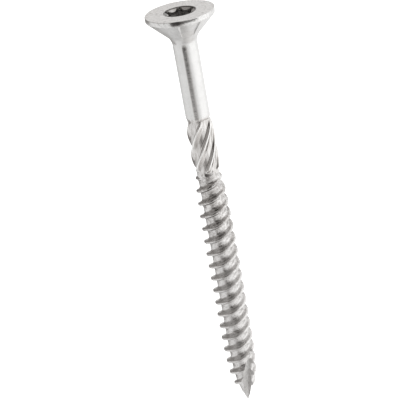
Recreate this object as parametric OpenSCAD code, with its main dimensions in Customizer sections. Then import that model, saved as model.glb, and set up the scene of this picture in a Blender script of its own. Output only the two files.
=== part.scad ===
// Countersunk construction screw, 6 x 80 mm, one cold-formed piece.
// It lies at rest on the plane z = 0, on the lower edge of the head's rim and on one
// thread crest near the point. +X runs from the head to the point.
// Inside the modules the screw stands on its own axis: z = 0 is the top of the head
// and +z runs to the point.

/* [Size] */
// Overall length, from the top of the head to the point
length = 80; // [74:1:90]

/* [Head] */
// Diameter of the countersunk head
head_d = 12.3; // [11.5:0.1:12.7]
// Height of the cylindrical rim of the head
rim_h = 0.85; // [0.6:0.05:1]
// Radius of the fillet between the head cone and the shank
neck_r = 2.5; // [2:0.1:2.8]
// Number of cutting pockets in the cone under the head
pockets = 3; // [2:1:4]
// Angular width of one pocket
pocket_angle = 40; // [25:1:45]
// Depth of a pocket, measured along the radius
pocket_depth = 0.45; // [0.2:0.05:0.6]

/* [Drive recess] */
// Width of the six-lobe recess across opposite lobes
recess_a = 5.6; // [5.4:0.05:5.7]
// Width of the six-lobe recess across opposite flanks
recess_b = 3.95; // [3.8:0.05:4.05]
// Depth of the straight part of the recess
recess_depth = 2.7; // [2.2:0.1:3]

/* [Shank] */
// Diameter of the plain shank
shank_d = 4.45; // [4.2:0.05:4.6]

/* [Shank cutter] */
// Length of the ribbed shank cutter
cutter_len = 10; // [8:0.5:12]
// Diameter over the ribs
cutter_d = 5; // [4.7:0.05:5.2]
// Diameter at the bottom of the grooves
cutter_root_d = 3.94; // [3.8:0.02:4]
// Lead of the helical ribs
cutter_lead = 27; // [24:1:34]

/* [Thread] */
// Outer diameter of the thread
thread_d = 6; // [5.8:0.05:6.3]
// Core diameter of the thread
core_d = 3.9; // [3.8:0.02:4]
// Distance from crest to crest along the axis
pitch = 2.609; // [2.5:0.001:2.7]
// Number of thread starts
starts = 2; // [1:1:2]
// Length from the start of the thread to the point
thread_len = 49.1; // [46:0.1:52]
// Width of the flat on the crest
crest_w = 0.34; // [0.2:0.02:0.4]
// Width of the thread ridge at the core
ridge_w = 1.12; // [0.9:0.02:1.3]

/* [Point] */
// Distance from the point at which the slanted cut enters the core
slot_start = 10; // [9:0.5:11]

/* [Hidden] */
$fn = 96;

head_r = head_d / 2;
shank_r = shank_d / 2;
edge_w = 0.07;                                  // chamfer of the head's top edge
neck_turn = 45;                                 // the cone stands at 45 degrees to the axis
cone_end = rim_h + head_r - shank_r;            // where the cone would meet the shank
neck_t = neck_r * tan(neck_turn / 2);           // tangent length of the fillet
cutter_end = length - thread_len;               // the thread begins here
cutter_start = cutter_end - 1 - cutter_len;     // the shank ends here

// Helix angle convention: angles grow with z, which makes every helix right-handed.
// Angle 0 faces up when the screw lies at rest; one lobe of the recess points there.

// ---- six-lobe recess: arcs of the lobes and of the flanks between them ----
lobe_r = 0.46;
lobe_c = recess_a / 2 - lobe_r;
flank_r = 1.19;
flank_c = recess_b / 2 + flank_r;
lobe_half = atan2(flank_c * sin(30), flank_c * cos(30) - lobe_c);
flank_half = lobe_half - 30;
recess_outline = [
    for (k = [0:5]) each concat(
        [for (i = [-4:4]) let (t = lobe_half * i / 4)
            [lobe_c * cos(60 * k) + lobe_r * cos(60 * k + t), lobe_c * sin(60 * k) + lobe_r * sin(60 * k + t)]],
        [for (i = [-2:2]) let (t = 60 * k + 30 + 180 - flank_half * i / 3)
            [flank_c * cos(60 * k + 30) + flank_r * cos(t), flank_c * sin(60 * k + 30) + flank_r * sin(t)]])
];

// ---- thread: radii along the axis, given from the point backwards ----
function from_point(t) = length - t;
function core_r(s) = core_d / 3.9 * lookup(from_point(s), [
    [0, 0.05], [0.6, 0.30], [1.6, 0.66], [3, 1.09], [4.3, 1.42], [5.6, 1.62], [7, 1.74],
    [9, 1.85], [11, 1.90], [14, 1.95], [thread_len - 3.1, 1.95], [thread_len - 1.5, 1.97],
    [thread_len - 0.3, 2.05], [thread_len + 3, 2.05]]);
function ridge_h(s) = (thread_d - core_d) / 2.2 * lookup(from_point(s), [
    [1.8, -0.02], [2.8, 0.22], [4.35, 0.74], [7, 0.96], [9, 1.03], [10.9, 1.08], [13, 1.10],
    [thread_len - 13.4, 1.10], [thread_len - 8.2, 1.0], [thread_len - 5.6, 0.93],
    [thread_len - 3, 0.80], [thread_len - 0.5, 0.40], [thread_len - 0.1, -0.03], [thread_len + 3, -0.03]]);

lead = starts * pitch;
cols = 48;                                      // columns around the axis
profile = [[-ridge_w / 2, 0], [-crest_w / 2, 1], [crest_w / 2, 1], [ridge_w / 2, 0], [pitch / 2, 0]];
np = len(profile);
crest_ref = length - 4.31;                      // a crest at 90 degrees, close to the point
k_first = -ceil((crest_ref - cutter_end + 3 * lead) / pitch);
k_last = ceil((length - crest_ref + lead) / pitch) + 1;
rows = (k_last - k_first + 1) * np - 1;
s_low = cutter_end - 0.7;                       // inside the end of the shank cutter
s_high = length;
function crest_s(k, a) = crest_ref + k * pitch + lead * (a - 90) / 360;
function row_s(a, i) = crest_s(k_first + floor(i / np), a) + profile[i % np][0];
function row_r(a, i) = let (s = row_s(a, i)) core_r(s) + profile[i % np][1] * max(-0.02, ridge_h(s));
function polar(r, a, z) = [r * cos(a), r * sin(a), z];
// Number of the point that column j shows in row i: the first and last rings close the ends.
function pt(j, i) = let (w = j == cols, jj = w ? 0 : j, ii = w ? i + starts * np : i,
                         s = row_s(360 * jj / cols, ii))
    s <= s_low ? cols * (rows + 1) + jj
    : (s >= s_high || ii > rows) ? cols * (rows + 2) + jj
    : jj * (rows + 1) + ii;
function real_face(f) = f[0] != f[1] && f[1] != f[2] && f[2] != f[0];

module thread_solid() {
    pts = concat(
        [for (j = [0:cols - 1]) for (i = [0:rows]) let (a = 360 * j / cols, s = row_s(a, i))
            polar(row_r(a, i), a, min(max(s, s_low), s_high))],
        [for (j = [0:cols - 1]) polar(core_r(s_low), 360 * j / cols, s_low)],
        [for (j = [0:cols - 1]) polar(core_r(s_high), 360 * j / cols, s_high)]);
    skin = [for (j = [0:cols - 1]) for (i = [0:rows - 1])
        let (a = pt(j, i), b = pt(j, i + 1), c = pt(j + 1, i + 1), d = pt(j + 1, i))
        for (f = [[a, b, c], [a, c, d]]) if (real_face(f)) f];
    caps = [
        [for (j = [0:cols - 1]) cols * (rows + 1) + j],
        [for (j = [cols - 1:-1:0]) cols * (rows + 2) + j]];
    polyhedron(points = pts, faces = concat(skin, caps), convexity = 20);
}

// ---- shank cutter: six helical ribs, each with one steep side ----
rib_steps = [0, 0.2, 0.4, 0.5, 0.59, 0.78];
function rib_shape(u) = lookup(u, [[0, 0], [0.2, 0.06], [0.4, 0.22], [0.5, 0.68], [0.59, 1], [0.78, 0.57], [1, 0]]);
cutter_rings = concat(
    [[-0.35, 0, 1.9], [0, 0, 1.9], [0.2, 0.2, 1.97], [0.5, 0.55, 1.97], [1, 0.88, 1.97], [1.6, 1, 1.97]],
    [for (t = [1:11]) [1.6 + (cutter_len - 2) * t / 11, 1, 1.97]],
    [[cutter_len - 0.12, 0.5, 1.99], [cutter_len, 0, 2.02], [cutter_len + 0.25, 0, 2.08], [cutter_len + 1, 0, 2.08]]);
function rib_angle(s) = -25 + (s - (cutter_start + 5.1)) * 360 / cutter_lead;
function rib_r(g, u) = g[2] * (g[2] < 2 ? cutter_root_d / 3.94 : 1) + g[1] * rib_shape(u) * (cutter_d - cutter_root_d) / 2;

module cutter_solid() {
    m = 6 * len(rib_steps);
    n = len(cutter_rings);
    pts = [for (g = cutter_rings) for (k = [0:5]) for (u = rib_steps)
        polar(rib_r(g, u), rib_angle(cutter_start + g[0]) - 60 * (k + u), cutter_start + g[0])];
    skin = [for (i = [0:n - 2]) for (j = [0:m - 1])
        let (a = i * m + j, b = i * m + (j + 1) % m, c = a + m, d = b + m)
        for (f = [[a, d, c], [a, b, d]]) f];
    caps = [[for (j = [m - 1:-1:0]) j], [for (j = [0:m - 1]) (n - 1) * m + j]];
    polyhedron(points = pts, faces = concat(skin, caps), convexity = 10);
}

module head_and_shank() {
    fillet = [for (i = [0:10]) let (a = 225 - 45 * i / 10)
        [shank_r + neck_r + neck_r * cos(a), cone_end + neck_t + neck_r * sin(a)]];
    rotate_extrude()
        polygon(concat(
            [[0, 0], [head_r - edge_w, 0], [head_r, edge_w], [head_r, rim_h]],
            fillet,
            [[shank_r, cutter_start - 0.2], [shank_r - 0.2, cutter_start], [0, cutter_start]]));
}

// The drive recess: a short lead-in, the straight six-lobe socket and a conical bottom.
module recess() {
    translate([0, 0, -0.5])
        linear_extrude(height = recess_depth + 0.5) polygon(recess_outline);
    translate([0, 0, -0.05]) cylinder(h = 0.55, r1 = recess_a / 2 + 0.23, r2 = recess_b / 2 - 0.07);
    translate([0, 0, recess_depth - 0.01]) cylinder(h = 1, r1 = recess_b / 2 - 0.04, r2 = 0.1);
}

// One pocket: a slice of the cone with radial walls, closed above by the rim.
module pocket() {
    run_out = cone_end - 1.85;
    rotate([0, 0, -13 - pocket_angle / 2])
        rotate_extrude(angle = pocket_angle)
            polygon([
                [head_r + 1, rim_h + 0.1],
                [head_r - 0.1 - pocket_depth, rim_h + 0.1],
                [head_r + rim_h - run_out - pocket_depth, run_out],
                [head_r + rim_h - run_out - pocket_depth - 0.6, run_out + 1.1],
                [head_r + 1, run_out + 1.1]]);
}

// The cut of the point: a trough that slopes into the axis, with a steep wall, a broad
// floor and a second wall that meets the floor in a right angle.
floor_dir = -39.5;                              // direction that the floor faces
steep_dir = -77;                                // direction that the steep wall faces
function unit(a) = [cos(a), sin(a)];
function floor_d(s) = 0.48 * core_d * (length - s) / slot_start;
function steep_d(s) = 0.55 - 0.374 * (s - (length - 7.6));
function wall_d(s) = -0.70 + 0.052 * (s - (length - 9));
function on_floor(s, t) = floor_d(s) * unit(floor_dir) + t * unit(floor_dir + 90);
function steep_t(s) = (floor_d(s) * cos(floor_dir - steep_dir) - steep_d(s)) / sin(floor_dir - steep_dir);
function cut_ring(s) = let (crease = on_floor(s, wall_d(s)), foot = on_floor(s, steep_t(s)))
    [for (p = [crease, crease + 6 * unit(floor_dir), foot + 6 * unit(steep_dir + 90), foot]) [p[0], p[1], s]];

module point_cut() {
    polyhedron(
        points = concat(cut_ring(length - 12), cut_ring(length + 2)),
        faces = [[0, 1, 2, 3], [7, 6, 5, 4], [4, 5, 1, 0], [5, 6, 2], [5, 2, 1], [6, 7, 3, 2], [7, 4, 0, 3]]);
}

module screw_body() {
    difference() {
        union() {
            head_and_shank();
            cutter_solid();
            thread_solid();
        }
        recess();
        for (k = [0:pockets - 1]) rotate([0, 0, 360 * k / pockets]) pocket();
        point_cut();
    }
}

// ---- rest position: the screw leans on its rim and on the crest that touches first ----
low_crests = [for (k = [k_first:k_last]) let (s = crest_s(k, 180))
    if (s > length - 25 && s < length - 5) [s, core_r(s) + ridge_h(s)]];
lean = min([for (c = low_crests) atan((head_r - c[1]) / (c[0] - rim_h))]);
rest_z = rim_h * sin(lean) + head_r * cos(lean);
rest_x = -(length * cos(lean) - (head_r - edge_w) * sin(lean)) / 2;

module screw() {
    color([0.78, 0.77, 0.76])
        translate([rest_x, 0, rest_z]) rotate([0, 90 + lean, 0]) rotate([0, 0, 180]) screw_body();
}

screw();
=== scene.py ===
import math

import bpy
import bmesh
from mathutils import Matrix, Vector, noise


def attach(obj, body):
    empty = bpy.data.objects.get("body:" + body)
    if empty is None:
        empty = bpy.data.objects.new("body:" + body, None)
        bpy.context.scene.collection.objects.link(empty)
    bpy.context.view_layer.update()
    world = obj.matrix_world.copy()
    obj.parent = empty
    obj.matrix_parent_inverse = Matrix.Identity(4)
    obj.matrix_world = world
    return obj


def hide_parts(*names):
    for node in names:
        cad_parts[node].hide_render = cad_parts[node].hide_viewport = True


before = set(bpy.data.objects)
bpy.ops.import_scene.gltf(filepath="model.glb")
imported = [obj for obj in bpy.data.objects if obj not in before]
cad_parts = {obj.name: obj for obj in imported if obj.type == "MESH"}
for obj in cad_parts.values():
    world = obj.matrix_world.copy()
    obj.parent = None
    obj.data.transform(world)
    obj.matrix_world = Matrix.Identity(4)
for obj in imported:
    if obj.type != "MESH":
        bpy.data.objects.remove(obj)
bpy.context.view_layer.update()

scene = bpy.context.scene

# ---------------------------------------------------------------------------
# Sizes, in millimetres, as in the part's own source
# ---------------------------------------------------------------------------
LENGTH = 80.0
HEAD_R = 6.15
RIM_H = 0.85
EDGE_W = 0.07
SHANK_R = 2.225
NECK_R = 2.5
CONE_END = RIM_H + HEAD_R - SHANK_R
NECK_T = NECK_R * math.tan(math.radians(22.5))
THREAD_LEN = 49.1
CUTTER_END = LENGTH - THREAD_LEN
CUTTER_START = CUTTER_END - 11.0
CORE_D = 3.9
THREAD_D = 6.0
PITCH = 2.609
STARTS = 2
LEAD = PITCH * STARTS
CREST_REF = LENGTH - 4.31
RECESS_A = 5.6
RECESS_B = 3.95
LOBE_R = 0.46
LOBE_C = RECESS_A / 2 - LOBE_R
FLANK_R = 1.19
FLANK_C = RECESS_B / 2 + FLANK_R

COLS = 180                      # columns round the axis, 2 degrees each
STEP = 360.0 / COLS

CORE = [(0, 0.05), (0.6, 0.30), (1.6, 0.66), (3, 1.09), (4.3, 1.42), (5.6, 1.62), (7, 1.74),
        (9, 1.85), (11, 1.90), (14, 1.95), (THREAD_LEN - 3.1, 1.95), (THREAD_LEN - 1.5, 1.97),
        (THREAD_LEN - 0.3, 2.05), (THREAD_LEN + 3, 2.05)]
RIDGE = [(1.8, -0.02), (2.8, 0.22), (4.35, 0.74), (7, 0.96), (9, 1.03), (10.9, 1.08), (13, 1.10),
         (THREAD_LEN - 13.4, 1.10), (THREAD_LEN - 8.2, 1.0), (THREAD_LEN - 5.6, 0.93),
         (THREAD_LEN - 3, 0.80), (THREAD_LEN - 0.5, 0.40), (THREAD_LEN - 0.1, -0.03), (THREAD_LEN + 3, -0.03)]


def lookup(t, table):
    if t <= table[0][0]:
        return table[0][1]
    for (a, u), (b, v) in zip(table, table[1:]):
        if t <= b:
            return u + (v - u) * (t - a) / (b - a)
    return table[-1][1]


def smooth(x, a, b):
    t = min(1.0, max(0.0, (x - a) / (b - a)))
    return t * t * (3 - 2 * t)


def core_r(s):
    return CORE_D / 3.9 * lookup(LENGTH - s, CORE)


def ridge_h(s):
    return (THREAD_D - CORE_D) / 2.2 * lookup(LENGTH - s, RIDGE)


def lean_angle():
    best = None
    for k in range(-12, 3):
        s = CREST_REF + k * PITCH + LEAD * 90 / 360
        if LENGTH - 25 < s < LENGTH - 5:
            d = math.atan((HEAD_R - core_r(s) - ridge_h(s)) / (s - RIM_H))
            best = d if best is None else min(best, d)
    return best


LEAN = lean_angle()
REST_Z = RIM_H * math.sin(LEAN) + HEAD_R * math.cos(LEAN)
REST_X = -(LENGTH * math.cos(LEAN) - (HEAD_R - EDGE_W) * math.sin(LEAN)) / 2
AX = Vector((math.cos(LEAN), 0, -math.sin(LEAN)))     # from the head to the point
UP = Vector((math.sin(LEAN), 0, math.cos(LEAN)))      # upwards, square to the axis
SIDE = Vector((0, 1, 0))                              # across
TOP = Vector((REST_X, 0, REST_Z))                     # centre of the head's top face
# own axes of the screw: z from the head to the point, x upwards, y across (towards -Y)
OWN = Matrix((
    (UP.x, -SIDE.x, AX.x, TOP.x),
    (UP.y, -SIDE.y, AX.y, TOP.y),
    (UP.z, -SIDE.z, AX.z, TOP.z),
    (0, 0, 0, 1)))

# ---------------------------------------------------------------------------
# Camera
# ---------------------------------------------------------------------------
cam_data = bpy.data.cameras.new("camera")
cam_data.sensor_width = 36.0
cam_data.lens = 119.926
cam_data.clip_start = 0.005
cam_data.clip_end = 20.0
cam = bpy.data.objects.new("camera", cam_data)
scene.collection.objects.link(cam)
eye = (TOP - 65.2566 * AX + 222.1643 * UP + 0.7991 * SIDE) / 1000
cx = 0.16351 * AX + 0.06049 * UP + 0.984685 * SIDE
cz = (-0.414122 * AX + 0.910131 * UP + 0.012856 * SIDE).normalized()
cx = (cx - cx.dot(cz) * cz).normalized()
cy = cz.cross(cx)
cam.matrix_world = Matrix((
    (cx.x, cy.x, cz.x, eye.x), (cx.y, cy.y, cz.y, eye.y), (cx.z, cy.z, cz.z, eye.z), (0, 0, 0, 1)))
scene.camera = cam

# ---------------------------------------------------------------------------
# The screw as one closed mesh, in millimetres on its own axes
# ---------------------------------------------------------------------------
verts, faces = [], []


def add_ring(fn, offset=0.0):
    """fn(j, angle) gives angle, radius and axial place of column j."""
    start = len(verts)
    for j in range(COLS):
        t, r, s = fn(j, offset + j * STEP)
        t = math.radians(t)
        verts.append((r * math.cos(t), r * math.sin(t), s))
    return start


def bridge(a, b):
    for j in range(COLS):
        k = (j + 1) % COLS
        faces.append((a + j, a + k, b + k, b + j))


def plain(r, s):
    return lambda j, t: (t, r, s)


def recess_r(t):
    al = abs((t + 30) % 60 - 30)
    if al <= 10.31:
        c = math.radians(al)
        return LOBE_C * math.cos(c) + math.sqrt(max(0.0, LOBE_R ** 2 - (LOBE_C * math.sin(c)) ** 2))
    c = math.radians(30 - al)
    return FLANK_C * math.cos(c) - math.sqrt(max(0.0, FLANK_R ** 2 - (FLANK_C * math.sin(c)) ** 2))


def lead_in(r):
    return (2.93 - r) / 2.045


def in_recess(dr, s):
    return lambda j, t: (t, recess_r(t) + dr, s)


rings = []
# bottom of the recess, from the axis outwards
verts.append((0, 0, 3.66))
for r, s in ((0.12, 3.645), (0.4, 3.50), (0.9, 3.235), (1.5, 2.92), (1.82, 2.75)):
    rings.append(add_ring(plain(r, s)))
rings.append(add_ring(lambda j, t: (t, max(1.88, recess_r(t) - 0.09), 2.70)))
rings.append(add_ring(in_recess(-0.03, 2.68)))
rings.append(add_ring(in_recess(-0.005, 2.63)))
for s in (2.56, 2.1, 1.6, 1.1, 0.75):
    rings.append(add_ring(in_recess(0.0, s)))
rings.append(add_ring(lambda j, t: (t, recess_r(t), lead_in(recess_r(t)) + 0.05)))
rings.append(add_ring(lambda j, t: (t, recess_r(t) + 0.012, lead_in(recess_r(t)) - 0.002)))
rings.append(add_ring(lambda j, t: (t, 0.6 * recess_r(t) + 0.4 * 2.93, 0.6 * lead_in(recess_r(t)))))
rings.append(add_ring(lambda j, t: (t, 0.2 * recess_r(t) + 0.8 * 2.93, 0.2 * lead_in(recess_r(t)))))
for r, s in ((2.925, 0.012), (2.96, 0.002), (3.02, 0.0)):
    rings.append(add_ring(plain(r, s)))
# top face, its edge and the rim
for r in (3.4, 3.9, 4.4, 4.9, 5.4, 5.75, 5.88, 5.93):
    rings.append(add_ring(plain(r * HEAD_R / 6, 0.0)))
for r, s in ((5.948, 0.006), (5.964, 0.020), (5.972, 0.045), (5.979, 0.11), (5.9875, 0.22), (5.9945, 0.35), (5.999, 0.5),
             (6.0, 0.62), (6.0, 0.81), (5.994, 0.84), (5.978, 0.868), (5.95, 0.90)):
    rings.append(add_ring(plain(r + HEAD_R - 6, s)))

# cone with three cutting pockets
POCKET_A, POCKET_B, POCKET_D = -33.0, 7.0, 0.45
RUN_OUT = CONE_END - 1.85


def pocket_column(j):
    """Angle of column j under the head, and how deep it stands in a pocket (0 to 1)."""
    t = j * STEP
    u = (t - POCKET_A) % 120.0
    w = POCKET_B - POCKET_A
    if u > w + 3 and u < 117:
        return t, 0.0
    if u > 117:
        u -= 120
    # the two columns next to each edge move onto the top and the foot of the wall
    if u < -2.5 or 3.5 < u < w - 4.5:
        return t, pocket_form(u, w)
    if u < 0.5:
        place, form = (0.0, 0.0) if u > -1.5 else (u, 0.0)
    elif u < 3.5:
        place = 0.25 if u < 1.5 else u
        form = pocket_form(place, w)
    elif u > w - 0.5:
        place, form = (w, 0.0) if u < w + 1.5 else (u, 0.0)
    else:
        place = w - 3.0 if u < w - 1.5 else w - 1.6
        if u < w - 3.5:
            place = w - 3.3
        form = pocket_form(place, w)
    return t + place - u, form


def pocket_form(u, w):
    if u <= 0 or u >= w:
        return 0.0
    return min(1.0, (w - u) / 3.0) * (0.60 + 0.40 * min(1.0, u / (w - 6.0)))


def cone_ring(s, deep=1.0):
    r0 = HEAD_R + RIM_H - s

    def fn(j, t):
        t, form = pocket_column(j)
        if form == 0.0 or deep == 0:
            return t, r0, s
        depth = POCKET_D if s <= RUN_OUT else POCKET_D - (1 - 0.6 / 1.1) * (s - RUN_OUT)
        return t, r0 - deep * form * max(0.0, depth), s
    return fn


rings.append(add_ring(cone_ring(0.935, 0.0)))
for s, deep in ((0.95, 0.0), (0.951, 0.93), (0.965, 1.0)):
    rings.append(add_ring(cone_ring(s, deep)))
s = 1.05
while s < 4.0:
    rings.append(add_ring(cone_ring(s)))
    s += 0.13 if s < 2.8 else 0.075
for i in range(13):
    a = math.radians(225 - 45 * i / 12)
    rings.append(add_ring(plain(SHANK_R + NECK_R + NECK_R * math.cos(a), CONE_END + NECK_T + NECK_R * math.sin(a))))
s = 6.3
while s < 19.2:
    rings.append(add_ring(plain(SHANK_R, s)))
    s += 0.8


def rag(j, s, seed, size):
    """A small unevenness that closes round the axis."""
    a = math.radians(j * STEP)
    return size * noise.noise(Vector((2.2 * math.cos(a) + seed, 2.2 * math.sin(a), s * 1.3)))


# end of the plain shank, rolled slightly outwards over the start of the ribs
for r, s, n in ((2.225, 19.25, 0), (2.225, 19.4, 0.01), (2.21, 19.55, 0.02), (2.175, 19.7, 0.03), (2.115, 19.82, 0.03), (2.06, 19.9, 0.02)):
    rings.append(add_ring(lambda j, t, r=r, s=s, n=n: (t, r + rag(j, 0, 3.1, n), s + rag(j, 2, 8.7, 1.6 * n))))

# shank cutter: the columns follow the ribs, so each rib's crest lies on one column
RIB_LEAD = 27.0
RIB_SHIFT = 46
RIB_H = 0.53
RIB_FORM = [(0, 0.0), (0.1, 0.0), (0.24, 0.01), (0.36, 0.03), (0.43, 0.07), (0.466, 0.22), (0.53, 0.84), (0.565, 0.97),
            (0.59, 1.0), (0.62, 0.99), (0.66, 0.92), (0.74, 0.69), (0.84, 0.38), (0.93, 0.13), (1.0, 0.0)]


def rib_shape(j):
    return lookup(((-(j + RIB_SHIFT)) % 30) / 30.0, RIB_FORM)


def rib_offset(s):
    return (s - (CUTTER_START + 5.1)) * 360.0 / RIB_LEAD + 67.0


def rib_ring(ds, high, root):
    s = CUTTER_START + ds
    return add_ring(lambda j, t: (t, root + high * RIB_H * rib_shape(j), s), rib_offset(s))


for ds, high, root in ((0.04, 0.05, 2.04), (0.12, 0.12, 2.035), (0.2, 0.24, 2.03), (0.35, 0.45, 2.01), (0.55, 0.62, 1.99),
                       (0.8, 0.78, 1.975), (1.1, 0.90, 1.97), (1.4, 0.97, 1.97)):
    rings.append(rib_ring(ds, high, root))
ds = 1.7
while ds < 9.2:
    rings.append(rib_ring(ds, 1.0, 1.97))
    ds += 0.3
for ds, high, root in ((9.35, 0.98, 1.97), (9.5, 0.93, 1.972), (9.65, 0.80, 1.98), (9.78, 0.60, 1.99), (9.89, 0.36, 2.005), (10.0, 0.12, 2.02)):
    rings.append(rib_ring(ds, high, root))
OFF = rib_offset(CUTTER_START + 10.0)
for r, s in ((2.03, 29.98), (2.035, 30.07), (2.04, 30.18), (2.048, 30.3), (2.056, 30.42), (2.062, 30.54), (2.064, 30.66),
             (2.06, 30.80)):
    rings.append(add_ring(lambda j, t, r=r, s=s: (t, r + rag(j, 0, 5.3, 0.03), s + rag(j, 2, 1.9, 0.09)), OFF))
S_LOW = 30.95
rings.append(add_ring(plain(core_r(S_LOW), S_LOW), OFF))

for j in range(COLS):
    faces.append((0, rings[0] + (j + 1) % COLS, rings[0] + j))
for a, b in zip(rings, rings[1:]):
    bridge(a, b)
low_ring = rings[-1]

# thread: rows run along the helix, so crest and foot lie on rows of their own
PROFILE = [(-1.05, 0.0), (-0.82, 0.015), (-0.64, 0.06), (-0.52, 0.20), (-0.425, 0.48), (-0.36, 0.70), (-0.30, 0.845),
           (-0.235, 0.925), (-0.155, 0.978), (-0.055, 1.0), (0.045, 1.0), (0.14, 0.972), (0.22, 0.90), (0.30, 0.76),
           (0.40, 0.45), (0.48, 0.20), (0.62, 0.055), (0.80, 0.01), (1.2, 0.0)]
NP = len(PROFILE)
K0, K1 = -23, 3
ROWS = (K1 - K0 + 1) * NP
S_HIGH = 79.93


def row_s(j, i):
    t = OFF + j * STEP
    return CREST_REF + (K0 + i // NP) * PITCH + LEAD * (t - 90) / 360 + PROFILE[i % NP][0]


grid = {}
high_ring = None


def grid_point(j, i):
    if j == COLS:
        j, i = 0, i + STARTS * NP
    s = row_s(j, i)
    if s <= S_LOW + 0.004:
        return low_ring + j
    if s >= S_HIGH or i >= ROWS:
        return high_ring + j
    key = (j, i)
    if key not in grid:
        f = PROFILE[i % NP][1]
        h = max(0.0, ridge_h(s))
        t = math.radians(OFF + j * STEP)
        p = Vector((math.cos(t) * 2.0, math.sin(t) * 2.0, s * 0.8))
        r = core_r(s) + f * h
        if f > 0.9 and h > 0.2:
            r += 0.016 * noise.noise(p * 1.7) - 0.008
        elif f == 0.0:
            r += 0.012 * noise.noise(p * 1.1 + Vector((9, 4, 1)))
        grid[key] = len(verts)
        verts.append((r * math.cos(t), r * math.sin(t), s))
    return grid[key]


high_ring = add_ring(plain(core_r(S_HIGH), S_HIGH), OFF)
for j in range(COLS):
    for i in range(ROWS - 1):
        q = [grid_point(j, i), grid_point(j + 1, i), grid_point(j + 1, i + 1), grid_point(j, i + 1)]
        q = [v for n, v in enumerate(q) if v not in q[:n]]
        if len(q) >= 3:
            faces.append(tuple(q))
tip = len(verts)
verts.append((0, 0, LENGTH))
for j in range(COLS):
    faces.append((tip, high_ring + j, high_ring + (j + 1) % COLS))

mesh = bpy.data.meshes.new("screw_fine")
mesh.from_pydata(verts, [], faces)
bm = bmesh.new()
bm.from_mesh(mesh)
bmesh.ops.recalc_face_normals(bm, faces=bm.faces)
bm.to_mesh(mesh)
bm.free()
mesh.validate()
screw = bpy.data.objects.new("screw_fine", mesh)
scene.collection.objects.link(screw)

# ---------------------------------------------------------------------------
# Cut of the point: a trough with a broad floor, a steep wall and an upright wall
# ---------------------------------------------------------------------------
FLOOR_DIR, STEEP_DIR = -39.5, -77.0


def unit(a):
    return Vector((math.cos(math.radians(a)), math.sin(math.radians(a))))


def floor_d(s):
    return 0.48 * CORE_D * (LENGTH - s) / 10.0


def steep_d(s):
    return 0.55 - 0.374 * (s - (LENGTH - 7.6))


def wall_d(s):
    return -0.70 + 0.052 * (s - (LENGTH - 9))


def steep_t(s):
    return (floor_d(s) * math.cos(math.radians(FLOOR_DIR - STEEP_DIR)) - steep_d(s)) / math.sin(math.radians(FLOOR_DIR - STEEP_DIR))


def cut_ring(s):
    crease = floor_d(s) * unit(FLOOR_DIR) + wall_d(s) * unit(FLOOR_DIR + 90)
    foot = floor_d(s) * unit(FLOOR_DIR) + steep_t(s) * unit(FLOOR_DIR + 90)
    return [(p.x, p.y, s) for p in (crease, crease + 6 * unit(FLOOR_DIR), foot + 6 * unit(STEEP_DIR + 90), foot)]


cut_mesh = bpy.data.meshes.new("point_cut")
cut_mesh.from_pydata(cut_ring(LENGTH - 12) + cut_ring(LENGTH + 2), [],
                     [(0, 1, 2, 3), (7, 6, 5, 4), (4, 5, 1, 0), (5, 6, 2), (5, 2, 1), (6, 7, 3, 2), (7, 4, 0, 3)])
bm = bmesh.new()
bm.from_mesh(cut_mesh)
bmesh.ops.recalc_face_normals(bm, faces=bm.faces)
bm.to_mesh(cut_mesh)
bm.free()
cutter = bpy.data.objects.new("point_cut", cut_mesh)
scene.collection.objects.link(cutter)
mod = screw.modifiers.new("cut", "BOOLEAN")
mod.operation = "DIFFERENCE"
mod.solver = "EXACT"
mod.object = cutter
bpy.context.view_layer.update()
cut_result = bpy.data.meshes.new_from_object(screw.evaluated_get(bpy.context.evaluated_depsgraph_get()))
screw.modifiers.clear()
screw.data = cut_result
bpy.data.objects.remove(cutter)
bpy.data.meshes.remove(cut_mesh)
bpy.data.meshes.remove(mesh)
cut_result.name = "screw_fine"

cut_result.transform(Matrix.Scale(0.001, 4) @ OWN)
for p in cut_result.polygons:
    p.use_smooth = True
cut_result.set_sharp_from_angle(angle=math.radians(38))
cut_result.update()

# ---------------------------------------------------------------------------
# Material: bright stainless steel, drawn on the shank and rolled on the thread
# ---------------------------------------------------------------------------


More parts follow.
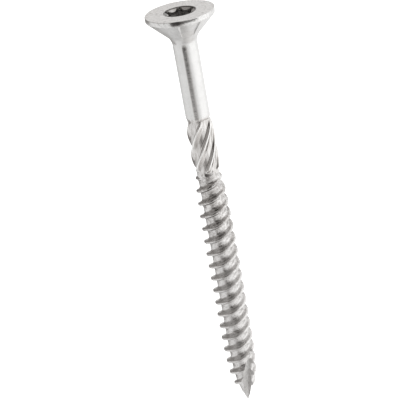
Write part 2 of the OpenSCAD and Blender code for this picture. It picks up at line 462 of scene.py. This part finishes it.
def steel():
    mat = bpy.data.materials.new("stainless_steel_fine")
    mat.use_nodes = True
    nt = mat.node_tree
    n, l = nt.nodes, nt.links
    bsdf = n["Principled BSDF"]
    bsdf.inputs["Metallic"].default_value = 1.0
    coord = n.new("ShaderNodeTexCoord")

    def mapped(scale):
        m = n.new("ShaderNodeMapping")
        m.inputs["Scale"].default_value = scale
        l.new(coord.outputs["Object"], m.inputs["Vector"])
        return m.outputs["Vector"]

    def noise_tex(scale, detail, rough=0.55):
        t = n.new("ShaderNodeTexNoise")
        t.inputs["Scale"].default_value = 1.0
        t.inputs["Detail"].default_value = detail
        t.inputs["Roughness"].default_value = rough
        l.new(mapped(scale), t.inputs["Vector"])
        return t.outputs["Fac"]

    def math_node(op, a, b=None, clamp=False):
        m = n.new("ShaderNodeMath")
        m.operation = op
        m.use_clamp = clamp
        for i, v in enumerate((a, b)):
            if v is None:
                continue
            if isinstance(v, (int, float)):
                m.inputs[i].default_value = v
            else:
                l.new(v, m.inputs[i])
        return m.outputs[0]

    def span(v, a, b, lo=0.0, hi=1.0):
        m = n.new("ShaderNodeMapRange")
        m.interpolation_type = "SMOOTHSTEP"
        m.inputs["From Min"].default_value = a
        m.inputs["From Max"].default_value = b
        m.inputs["To Min"].default_value = lo
        m.inputs["To Max"].default_value = hi
        l.new(v, m.inputs["Value"])
        return m.outputs["Result"]

    def along(direction):
        """Place along a direction, in metres from the centre of the head's top face."""
        m = n.new("ShaderNodeVectorMath")
        m.operation = "SUBTRACT"
        l.new(coord.outputs["Object"], m.inputs[0])
        m.inputs[1].default_value = TOP / 1000
        d = n.new("ShaderNodeVectorMath")
        d.operation = "DOT_PRODUCT"
        l.new(m.outputs[0], d.inputs[0])
        d.inputs[1].default_value = direction
        return d.outputs["Value"]

    s = along(AX)
    off_axis = math_node("SQRT", math_node("ADD", math_node("POWER", along(UP), 2.0), math_node("POWER", along(SIDE), 2.0)))
    on_thread = span(s, 0.0295, 0.0315)
    on_ribs = span(s, 0.0190, 0.0198)
    in_recess_mask = math_node("MULTIPLY", span(s, 0.00001, 0.00006), span(off_axis, 0.00290, 0.00295, 1.0, 0.0))
    in_recess_mask = math_node("MULTIPLY", in_recess_mask, span(s, 0.00368, 0.00375, 1.0, 0.0))


    def facing(a, per_s, place):
        """Distance beyond a face of the cut: a is the direction it faces, place its distance from the axis."""
        c, d = math.cos(math.radians(a)), math.sin(math.radians(a))
        return math_node("SUBTRACT", along(c * UP - d * SIDE - per_s * AX), place / 1000)

    floor_rate, wall_rate, steep_rate = floor_d(1) - floor_d(0), wall_d(1) - wall_d(0), steep_d(1) - steep_d(0)
    off_wall, off_steep = facing(FLOOR_DIR + 90, wall_rate, wall_d(0)), facing(STEEP_DIR, steep_rate, steep_d(0))
    on_cut = math_node("MINIMUM", math_node("MINIMUM", facing(FLOOR_DIR, floor_rate, floor_d(0)), off_wall), off_steep)
    on_cut = math_node("MULTIPLY", span(on_cut, -0.00004, -0.00001), span(s, 0.0660, 0.0665))

    turned = noise_tex((5200, 260, 260), 3.0, 0.6)         # fine marks round the axis
    drawn = noise_tex((90, 5200, 5200), 2.0, 0.6)          # fine lines along the axis
    blotch = noise_tex((620, 620, 620), 4.0, 0.6)
    lumps = noise_tex((900, 900, 900), 2.0, 0.5)
    pits = noise_tex((2600, 2600, 2600), 3.0, 0.65)

    def mix(fac, a, b, mode="MIX"):
        m = n.new("ShaderNodeMix")
        m.data_type = "RGBA"
        m.blend_type = mode
        for v, name in ((fac, "Factor"), (a, "A"), (b, "B")):
            if isinstance(v, (int, float, tuple)):
                m.inputs[name].default_value = v
            else:
                l.new(v, m.inputs[name])
        return m.outputs["Result"]

    def ramp(v, p0, c0, p1, c1):
        m = n.new("ShaderNodeValToRGB")
        e = m.color_ramp.elements
        e[0].position, e[0].color = p0, c0
        e[1].position, e[1].color = p1, c1
        l.new(v, m.inputs["Fac"])
        return m.outputs["Color"]

    # colour: plain bright grey on head and shank, more varied where the thread was rolled
    mottle = math_node("ADD", math_node("MULTIPLY", blotch, 0.4), math_node("MULTIPLY", noise_tex((2300, 2300, 2300), 3.0, 0.65), 0.6))
    plain_tone = ramp(blotch, 0.30, (0.555, 0.552, 0.545, 1), 0.70, (0.60, 0.597, 0.590, 1))
    head_tone = ramp(mottle, 0.38, (0.535, 0.529, 0.521, 1), 0.58, (0.675, 0.670, 0.663, 1))
    head_tone = mix(span(s, 0.00002, 0.00006), head_tone, ramp(mottle, 0.38, (0.50, 0.495, 0.487, 1), 0.58, (0.605, 0.601, 0.594, 1)))
    plain_tone = mix(span(s, 0.0040, 0.0055), head_tone, plain_tone)
    rolled = ramp(mottle, 0.40, (0.50, 0.488, 0.480, 1), 0.58, (0.61, 0.602, 0.595, 1))
    rough_rolled = ramp(mottle, 0.42, (0.36, 0.345, 0.335, 1), 0.58, (0.62, 0.610, 0.602, 1))
    rolled = mix(span(s, 0.0370, 0.0520), rough_rolled, rolled)
    streaks = noise_tex((450, 2300, 2300), 3.0, 0.6)      # the ribs' rolling lines
    ribbed = ramp(streaks, 0.36, (0.44, 0.424, 0.410, 1), 0.60, (0.59, 0.578, 0.566, 1))
    crest_highlight = math_node("MULTIPLY", span(off_axis, 0.00234, 0.00244), span(s, 0.0285, 0.0295, 1.0, 0.0))      # painted highlight along the rib crests
    ribbed = mix(crest_highlight, ribbed, (0.74, 0.733, 0.722, 1))
    colour = mix(on_ribs, plain_tone, ribbed)
    colour = mix(on_thread, colour, rolled)
    # small dark flecks on the head and between the ribs
    flecks = noise_tex((1900, 1900, 1900), 2.0, 0.6)
    fleck_mask = math_node("MULTIPLY", span(flecks, 0.59, 0.67), math_node("MAXIMUM", span(s, 0.0008, 0.0012, 1.0, 0.15), math_node("MULTIPLY", on_ribs, span(s, 0.0290, 0.0300, 0.25, 1.0))))
    colour = mix(math_node("MULTIPLY", fleck_mask, 0.55), colour, (0.30, 0.29, 0.28, 1))
    # rough start of the thread
    start = math_node("MULTIPLY", span(s, 0.0299, 0.0304), span(s, 0.0335, 0.0365, 1.0, 0.0))
    start = math_node("MULTIPLY", start, span(noise_tex((1200, 1200, 1200), 3.0, 0.6), 0.50, 0.60))
    colour = mix(math_node("MULTIPLY", start, 0.55), colour, (0.27, 0.26, 0.25, 1))
    colour = mix(in_recess_mask, colour, (0.45, 0.44, 0.43, 1))
    step = math_node("MULTIPLY", math_node("MULTIPLY", span(s, 0.00014, 0.00020), span(s, 0.00046, 0.00052, 1.0, 0.0)), in_recess_mask)
    colour = mix(step, colour, (0.60, 0.59, 0.58, 1))
    # painted shade in the lobe at the side of the recess, where its wall lies in shadow
    colour = mix(math_node("MULTIPLY", span(along(SIDE), -0.00235, -0.00200, 0.85, 0.0), in_recess_mask), colour, (0.12, 0.116, 0.112, 1))
    # painted shade along the mouth of the recess
    lip_shade = math_node("MULTIPLY", math_node("SUBTRACT", 1.0, span(s, 0.00012, 0.00018)), in_recess_mask)
    colour = mix(lip_shade, colour, (0.16, 0.155, 0.15, 1))
    cut_tone = ramp(mottle, 0.40, (0.49, 0.483, 0.475, 1), 0.58, (0.64, 0.633, 0.625, 1))
    # painted light: the faces of the upright and the steep wall are coloured lighter to stand in for the light they
    # reflect
    cut_tone = mix(span(off_wall, 0.00004, 0.00012, 1.0, 0.0), cut_tone, (0.74, 0.733, 0.725, 1))
    cut_tone = mix(span(off_steep, 0.00004, 0.00012, 1.0, 0.0), cut_tone, (0.74, 0.733, 0.725, 1))
    colour = mix(on_cut, colour, cut_tone)
    l.new(colour, bsdf.inputs["Base Color"])

    rough = math_node("ADD", span(blotch, 0.3, 0.7, 0.11, 0.16), math_node("MULTIPLY", span(pits, 0.45, 0.75, 0.0, 0.12), on_thread))
    rough = math_node("ADD", rough, math_node("MULTIPLY", on_ribs, 0.06))
    rough = math_node("ADD", rough, span(s, 0.0370, 0.0480, 0.0, 0.08))
    on_cone = math_node("MULTIPLY", span(s, 0.0046, 0.0060, 1.0, 0.0), span(s, 0.00088, 0.00098))
    rough = math_node("ADD", rough, math_node("MULTIPLY", on_cone, 0.24))
    rough = math_node("ADD", rough, math_node("MULTIPLY", in_recess_mask, 0.12))
    rough = math_node("ADD", rough, math_node("MULTIPLY", on_cut, 0.50))
    l.new(rough, bsdf.inputs["Roughness"])

    lines = math_node("ADD", math_node("MULTIPLY", turned, 0.75), math_node("MULTIPLY", drawn, 0.15))
    marks = noise_tex((1500, 300, 300), 2.0, 0.6)          # coarser marks round the plain shank
    on_shank = math_node("MULTIPLY", span(s, 0.0055, 0.0065), span(s, 0.0190, 0.0194, 1.0, 0.0))
    lines = math_node("ADD", lines, math_node("MULTIPLY", marks, math_node("MULTIPLY", on_shank, 1.0)))
    height = math_node("ADD", lines, math_node("MULTIPLY", pits, math_node("MULTIPLY", on_ribs, 0.5)))
    height = math_node("ADD", height, math_node("MULTIPLY", pits, math_node("MULTIPLY", on_thread, 0.9)))
    height = math_node("ADD", height, math_node("MULTIPLY", pits, span(s, 0.00001, 0.00003, 1.6, 0.0)))
    height = math_node("ADD", height, math_node("MULTIPLY", pits, math_node("MULTIPLY", on_cone, 0.6)))
    height = math_node("ADD", height, math_node("MULTIPLY", lumps, math_node("MULTIPLY", on_thread, 7.0)))
    bump = n.new("ShaderNodeBump")
    bump.inputs["Strength"].default_value = 0.5
    bump.inputs["Distance"].default_value = 0.00002
    l.new(height, bump.inputs["Height"])
    l.new(bump.outputs["Normal"], bsdf.inputs["Normal"])
    return mat


cut_result.materials.clear()
cut_result.materials.append(steel())
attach(screw, "root")
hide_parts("screw")

# ---------------------------------------------------------------------------
# Floor and light
# ---------------------------------------------------------------------------
floor_mesh = bpy.data.meshes.new("floor")
floor_mesh.from_pydata([(-1.5, -1.5, 0), (1.5, -1.5, 0), (1.5, 1.5, 0), (-1.5, 1.5, 0)], [], [(0, 1, 2, 3)])
floor = bpy.data.objects.new("floor", floor_mesh)
scene.collection.objects.link(floor)
floor.location = (0, 0, -0.00002)
floor_mat = bpy.data.materials.new("floor_white")
floor_mat.use_nodes = True
fb = floor_mat.node_tree.nodes["Principled BSDF"]
fb.inputs["Base Color"].default_value = (0.9, 0.9, 0.9, 1)
fb.inputs["Roughness"].default_value = 0.9
fb.inputs["Specular IOR Level"].default_value = 0.0
fb.inputs["Emission Color"].default_value = (1, 1, 1, 1)
fb.inputs["Emission Strength"].default_value = 0.9
floor_mesh.materials.append(floor_mat)
floor.visible_glossy = False

world = bpy.data.worlds.new("studio")
scene.world = world
world.use_nodes = True
wn, wl = world.node_tree.nodes, world.node_tree.links
wn.clear()
out = wn.new("ShaderNodeOutputWorld")
tc = wn.new("ShaderNodeTexCoord")
wsep = wn.new("ShaderNodeSeparateXYZ")
wl.new(tc.outputs["Generated"], wsep.inputs[0])


def wmath(op, a, b=None, clamp=False):
    m = wn.new("ShaderNodeMath")
    m.operation = op
    m.use_clamp = clamp
    for i, v in enumerate((a, b)):
        if v is None:
            continue
        if isinstance(v, (int, float)):
            m.inputs[i].default_value = v
        else:
            wl.new(v, m.inputs[i])
    return m.outputs[0]


def wspan(v, a, b, lo=0.0, hi=1.0):
    m = wn.new("ShaderNodeMapRange")
    m.interpolation_type = "SMOOTHSTEP"
    m.inputs["From Min"].default_value = a
    m.inputs["From Max"].default_value = b
    m.inputs["To Min"].default_value = lo
    m.inputs["To Max"].default_value = hi
    wl.new(v, m.inputs["Value"])
    return m.outputs["Result"]


wx, wy, wz = wsep.outputs["X"], wsep.outputs["Y"], wsep.outputs["Z"]
wx = wmath("SUBTRACT", wx, wspan(wx, 0.25, 0.60, 0.019, 0.004))
turn = wmath("MULTIPLY", wmath("ARCTAN2", wy, wz), 180 / math.pi)     # 0 straight up, positive towards +Y, in degrees


def round_ramp(stops):
    """Light level over the turn round the X axis."""
    r = wn.new("ShaderNodeValToRGB")
    r.color_ramp.interpolation = "EASE"
    e = r.color_ramp.elements
    while len(e) > 1:
        e.remove(e[0])
    e[0].position = 0.0
    e[0].color = (stops[0][1] / 2,) * 3 + (1,)
    for deg, v in stops[1:]:
        k = e.new((deg + 180) / 360)
        k.color = (v / 2, v / 2, v / 2, 1)
    wl.new(wmath("ADD", wmath("DIVIDE", turn, 360), 0.5), r.inputs["Fac"])
    return wmath("MULTIPLY", r.outputs["Color"], 2.0)


# the open ring of light round the screw
open_ring = round_ramp([(-180, 1.25), (-150, 0.84), (-128, 1.02), (-92, 1.18), (-55, 1.14), (-10, 1.12), (25, 1.30), (44, 1.58), (58, 1.64),
                        (92, 1.64), (128, 1.38), (155, 1.34), (180, 1.25)])
# the same ring with the dark gap between the two lights, above the screw
gap_ring = round_ramp([(-180, 1.25), (-150, 0.84), (-128, 1.02), (-92, 1.18), (-42.5, 1.14), (-28, 0.13), (-18, 0.06), (-8, 0.10),
                       (1, 0.46), (11, 0.98), (25, 1.26), (44, 1.58), (58, 1.64), (92, 1.64), (128, 1.38), (155, 1.34), (180, 1.25)])
keep = wmath("ADD", wspan(wx, 0.354, 0.368, 1.0, 0.30), wspan(wx, 0.385, 0.415, 0.0, 0.22))
keep = wmath("MULTIPLY", keep, wspan(wx, 0.56, 0.64, 1.0, 0.0))
gap = wmath("MULTIPLY", keep, wmath("SUBTRACT", 1.0, wmath("DIVIDE", gap_ring, open_ring)))
# the gap widens to the right further back
wide = wmath("MULTIPLY", wspan(turn, -38, -35), wspan(turn, 50, 60, 1.0, 0.0))
wide = wmath("MULTIPLY", wide, wspan(wx, 0.04, 0.09))
wide = wmath("MULTIPLY", wide, wspan(wmath("ADD", wx, wmath("MULTIPLY", wmath("MAXIMUM", turn, 0.0), 0.0018)), 0.280, 0.290, 1.0, 0.0))
# the dark room behind the camera, from above to the left
room = wmath("MULTIPLY", wspan(turn, -176, -162), wspan(turn, 10, 45, 1.0, 0.0))
room = wmath("MULTIPLY", room, wspan(wx, -0.06, 0.16, 1.0, 0.0))
back = wmath("MULTIPLY", wspan(turn, -176, -166), wspan(turn, -135, -112, 1.0, 0.0))
back = wmath("MULTIPLY", back, wspan(wx, 0.20, 0.27, 1.0, 0.0))
# the dark horizon behind the head, open to the right
far = wspan(wmath("ADD", wx, wmath("MULTIPLY", wy, 0.9)), -0.95, -0.35, 1.0, 0.0)
far = wmath("MULTIPLY", far, wspan(wx, -0.52, -0.32, 1.0, 0.0))
dark = wmath("MAXIMUM", wmath("MULTIPLY", room, 0.54), wmath("MULTIPLY", far, 0.62))
dark = wmath("MAXIMUM", dark, wmath("MULTIPLY", wide, 0.92))
dark = wmath("MAXIMUM", dark, wmath("MULTIPLY", back, 0.62))
# the paper's shaded side below on the left, and its edge below the head
low = wmath("MULTIPLY", wspan(turn, -164, -156), wspan(turn, -138, -118, 1.0, 0.0))
low = wmath("MULTIPLY", low, wmath("MULTIPLY", wspan(wx, 0.34, 0.40), wspan(wx, 0.60, 0.68, 1.0, 0.0)))
dark = wmath("MAXIMUM", dark, wmath("MULTIPLY", low, 0.50))
# the dark table edge in front of it, to the left
edge = wmath("MULTIPLY", wspan(turn, -179, -172), wspan(turn, -112, -88, 1.0, 0.0))
edge = wmath("MULTIPLY", edge, wmath("MULTIPLY", wspan(wx, 0.50, 0.55), wspan(wx, 0.62, 0.68, 1.0, 0.0)))
dark = wmath("MAXIMUM", dark, wmath("MULTIPLY", edge, 0.78))
below = wmath("MULTIPLY", wspan(wz, -0.80, -0.92), wspan(wx, -0.10, 0.10, 1.0, 0.0))
dark = wmath("MAXIMUM", dark, wmath("MULTIPLY", below, 0.26))
ahead = wmath("MULTIPLY", wmath("MULTIPLY", wspan(turn, 20, 45), wspan(turn, 110, 135, 1.0, 0.0)), wspan(wx, 0.60, 0.70))
dark = wmath("MAXIMUM", dark, wmath("MULTIPLY", ahead, 0.28))
# the far end of the light above the point is dimmer
end = wmath("MULTIPLY", wmath("MULTIPLY", wspan(turn, -45, -22), wspan(turn, 60, 82, 1.0, 0.0)), wspan(wx, 0.70, 0.75))
dark = wmath("MAXIMUM", dark, wmath("MULTIPLY", end, 0.34))
# the shade below and behind the head, which only the recess mirrors
inner = wmath("MULTIPLY", wspan(turn, 138, 144), wmath("MULTIPLY", wspan(wx, -0.82, -0.77), wspan(wx, -0.64, -0.56, 1.0, 0.0)))
dark = wmath("MAXIMUM", dark, wmath("MULTIPLY", inner, 0.66))
dark = wmath("MAXIMUM", dark, gap)
level = wmath("MULTIPLY", open_ring, wmath("SUBTRACT", 1.0, dark))
lp = wn.new("ShaderNodeLightPath")
bg = wn.new("ShaderNodeBackground")
wl.new(level, bg.inputs["Strength"])
white = wn.new("ShaderNodeBackground")
white.inputs["Strength"].default_value = 1.0
white.inputs["Color"].default_value = (1, 1, 1, 1)
tint = wn.new("ShaderNodeMix")
tint.data_type = "RGBA"
tint.inputs["A"].default_value = (1, 1, 1, 1)
tint.inputs["B"].default_value = (1, 0.935, 0.885, 1)
wl.new(dark, tint.inputs["Factor"])
wl.new(tint.outputs["Result"], bg.inputs["Color"])
mix = wn.new("ShaderNodeMixShader")
wl.new(lp.outputs["Is Camera Ray"], mix.inputs[0])
wl.new(bg.outputs[0], mix.inputs[1])
wl.new(white.outputs[0], mix.inputs[2])
wl.new(mix.outputs[0], out.inputs[0])

scene.view_settings.view_transform = "Standard"
